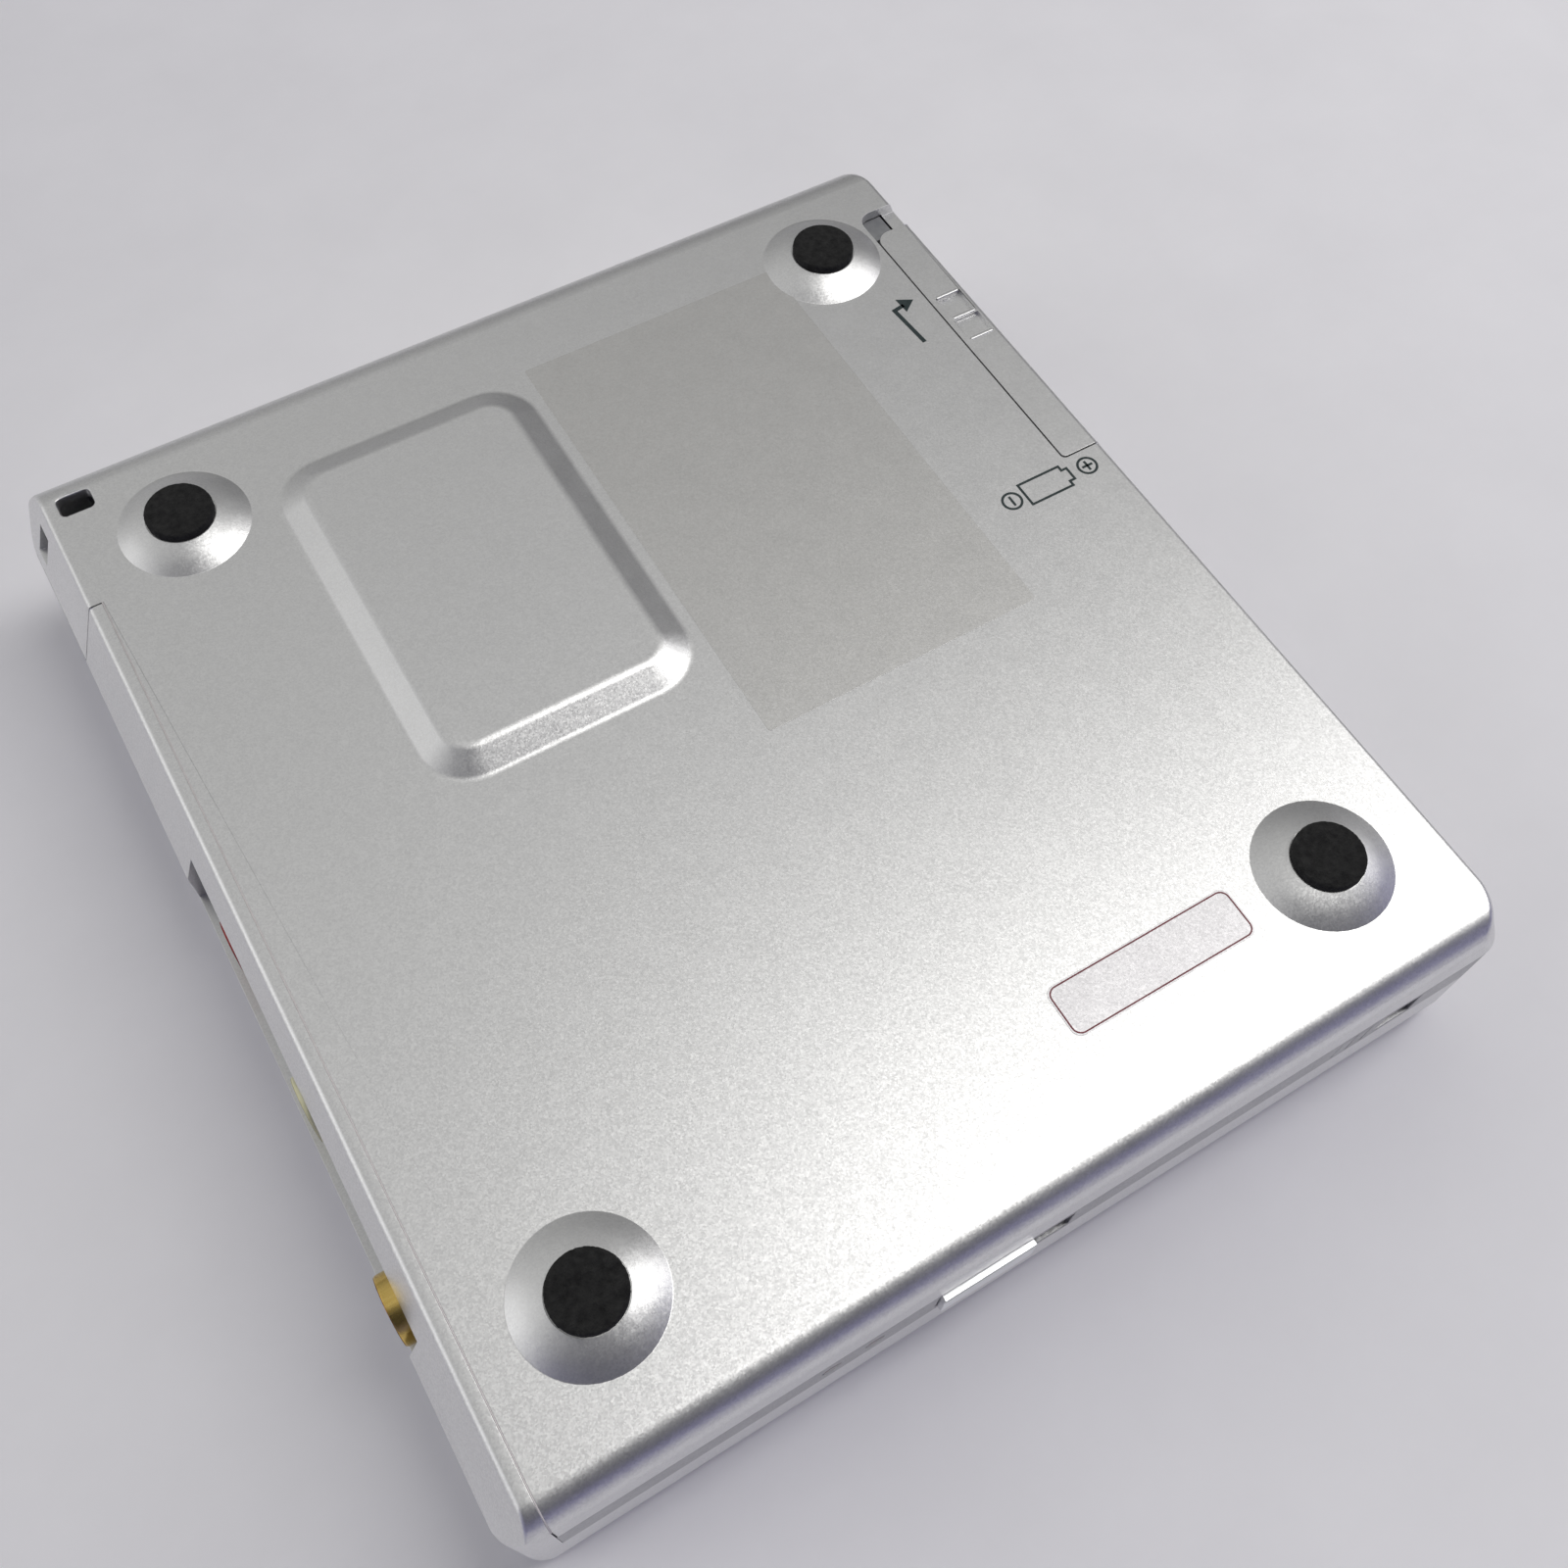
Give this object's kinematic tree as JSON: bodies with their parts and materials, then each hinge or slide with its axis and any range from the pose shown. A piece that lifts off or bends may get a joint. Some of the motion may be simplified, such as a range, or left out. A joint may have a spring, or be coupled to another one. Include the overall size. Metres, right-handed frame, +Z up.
{
  "type": "portable minidisc recorder",
  "caption": "Pocket disc recorder lying on its lid: silver case with domed rubber feet, hinged lid, sliding battery door, wall sockets and a full disc drive inside.",
  "frame": {"origin": "centre of the case's footprint on the lid's outer face, which lies on the table", "axes": "+Z up out of the bottom cover with its feet, +Y towards the lid hinge, +X towards the battery door"},
  "size_m": [0.073, 0.0804, 0.018],
  "materials": {
    "silver_paint": "satin metallic flake",
    "foot_rubber": "foamed, matte",
    "damper_rubber": "matte",
    "frame_plastic": "painted silver",
    "lid_plastic": "moulded",
    "steel": "ground",
    "spring_steel": "bright",
    "pressed_steel": "plated sheet",
    "tab_metal": "bright satin",
    "button_plastic": "plated",
    "window": "smoked",
    "display": "grey green",
    "flex": "amber film",
    "socket_black": "moulded",
    "gold": "plated",
    "red_ring": "moulded",
    "yellow_ring": "moulded",
    "board_green": "solder mask",
    "screw_metal": "plated",
    "cell_wrap": "shrink film",
    "pickup_metal": "die cast",
    "lens": "coated",
    "gear_nylon": "moulded",
    "lamp": "tinted"
  },
  "bodies": {
    "lid": {"lid_panel": "silver_paint", "lid_frame": "lid_plastic", "display_window": "window", "display_module": "display", "control_flex": "flex"},
    "base": {"bottom_cover": "silver_paint", "rubber_feet": "foot_rubber", "base_frame": "frame_plastic", "left_side_panel": "silver_paint", "hinge_pins": "steel", "headphone_jack": "socket_black", "mic_jack": "socket_black", "dc_jack": "socket_black", "headphone_ring": "gold", "mic_ring": "red_ring", "dc_ring": "yellow_ring", "light_port": "socket_black", "main_board": "board_green", "board_chips": "socket_black", "shield_can": "pressed_steel", "board_screws": "screw_metal", "battery": "cell_wrap", "battery_spring": "gold", "chassis_plate": "pressed_steel", "dampers": "damper_rubber", "chassis_screws": "screw_metal", "spindle_motor": "pressed_steel", "guide_shaft": "steel", "sub_guide_shaft": "steel", "feed_motor": "pressed_steel", "indicator_lights": "lamp"},
    "holder": {"disc_holder": "pressed_steel", "holder_springs": "spring_steel"},
    "head": {"head_arm": "spring_steel", "magnetic_head": "socket_black"},
    "sled": {"pickup_body": "pickup_metal", "objective_lens": "lens", "feed_nut": "gear_nylon"},
    "feed_screw": {"lead_screw": "steel", "feed_gear": "gear_nylon"},
    "pinion": {"motor_pinion": "gold"},
    "spindle": {"turntable": "steel"},
    "latch": {"open_knob": "tab_metal", "latch_plate": "pressed_steel", "latch_spring": "spring_steel"},
    "rec_slider": {"rec_switch": "frame_plastic"},
    "door_carrier": {"door_slider": "lid_plastic", "door_hinge_pin": "steel"},
    "door": {"battery_door": "silver_paint", "battery_plate": "gold"},
    "back_key": {"back_button": "button_plastic"},
    "play_key": {"play_button": "button_plastic"},
    "stop_key": {"stop_button": "button_plastic"},
    "forward_key": {"forward_button": "button_plastic"}
  },
  "joints": [
    {"name": "base_hinge", "type": "hinge", "parent": "lid", "child": "base", "pos_m": [0, 0.0362, 0.0086], "axis": [-1, 0, 0], "range_deg": [0, 30]},
    {"name": "holder_tilt", "type": "hinge", "parent": "lid", "child": "holder", "pos_m": [0, 0.0362, 0.0086], "axis": [-1, 0, 0], "range_deg": [0, 12]},
    {"name": "pickup_slide", "type": "slide", "parent": "base", "child": "sled", "axis": [0, -1, 0], "range_m": [0, 0.015]},
    {"name": "head_slide", "type": "slide", "parent": "holder", "child": "head", "axis": [0, -1, 0], "range_m": [0, 0.015]},
    {"name": "screw_turn", "type": "hinge", "parent": "base", "child": "feed_screw", "pos_m": [0.0155, -0.02, 0.0117], "axis": [0, 1, 0], "continuous": true},
    {"name": "pinion_turn", "type": "hinge", "parent": "base", "child": "pinion", "pos_m": [0.01883, -0.0086, 0.0117], "axis": [0, 1, 0], "continuous": true},
    {"name": "disc_spin", "type": "hinge", "parent": "base", "child": "spindle", "pos_m": [0, -0.0019, 0.008], "axis": [0, 0, 1], "continuous": true},
    {"name": "open_slide", "type": "slide", "parent": "base", "child": "latch", "axis": [1, 0, 0], "range_m": [0, 0.003], "stiffness_N_per_m": 100},
    {"name": "rec_slide", "type": "slide", "parent": "base", "child": "rec_slider", "axis": [1, 0, 0], "range_m": [0, 0.003]},
    {"name": "door_slide", "type": "slide", "parent": "base", "child": "door_carrier", "axis": [0, 1, 0], "range_m": [0, 0.0015]},
    {"name": "door_swing", "type": "hinge", "parent": "door_carrier", "child": "door", "pos_m": [0.0336, 0.03, 0.013], "axis": [0, 0, 1], "range_deg": [0, 90]},
    {"name": "back_press", "type": "slide", "parent": "lid", "child": "back_key", "axis": [0, 0, 1], "range_m": [0, 0.0003], "stiffness_N_per_m": 400},
    {"name": "play_press", "type": "slide", "parent": "lid", "child": "play_key", "axis": [0, 0, 1], "range_m": [0, 0.0003], "stiffness_N_per_m": 400},
    {"name": "stop_press", "type": "slide", "parent": "lid", "child": "stop_key", "axis": [0, 0, 1], "range_m": [0, 0.0003], "stiffness_N_per_m": 400},
    {"name": "forward_press", "type": "slide", "parent": "lid", "child": "forward_key", "axis": [0, 0, 1], "range_m": [0, 0.0003], "stiffness_N_per_m": 400}
  ],
  "couplings": [
    {"joint": "holder_tilt", "follows": "base_hinge", "ratio": 0.4},
    {"joint": "head_slide", "follows": "pickup_slide", "ratio": 1},
    {"joint": "screw_turn", "follows": "pickup_slide", "rad_per_m": 4188.8},
    {"joint": "pinion_turn", "follows": "pickup_slide", "rad_per_m": -6702.1}
  ]
}
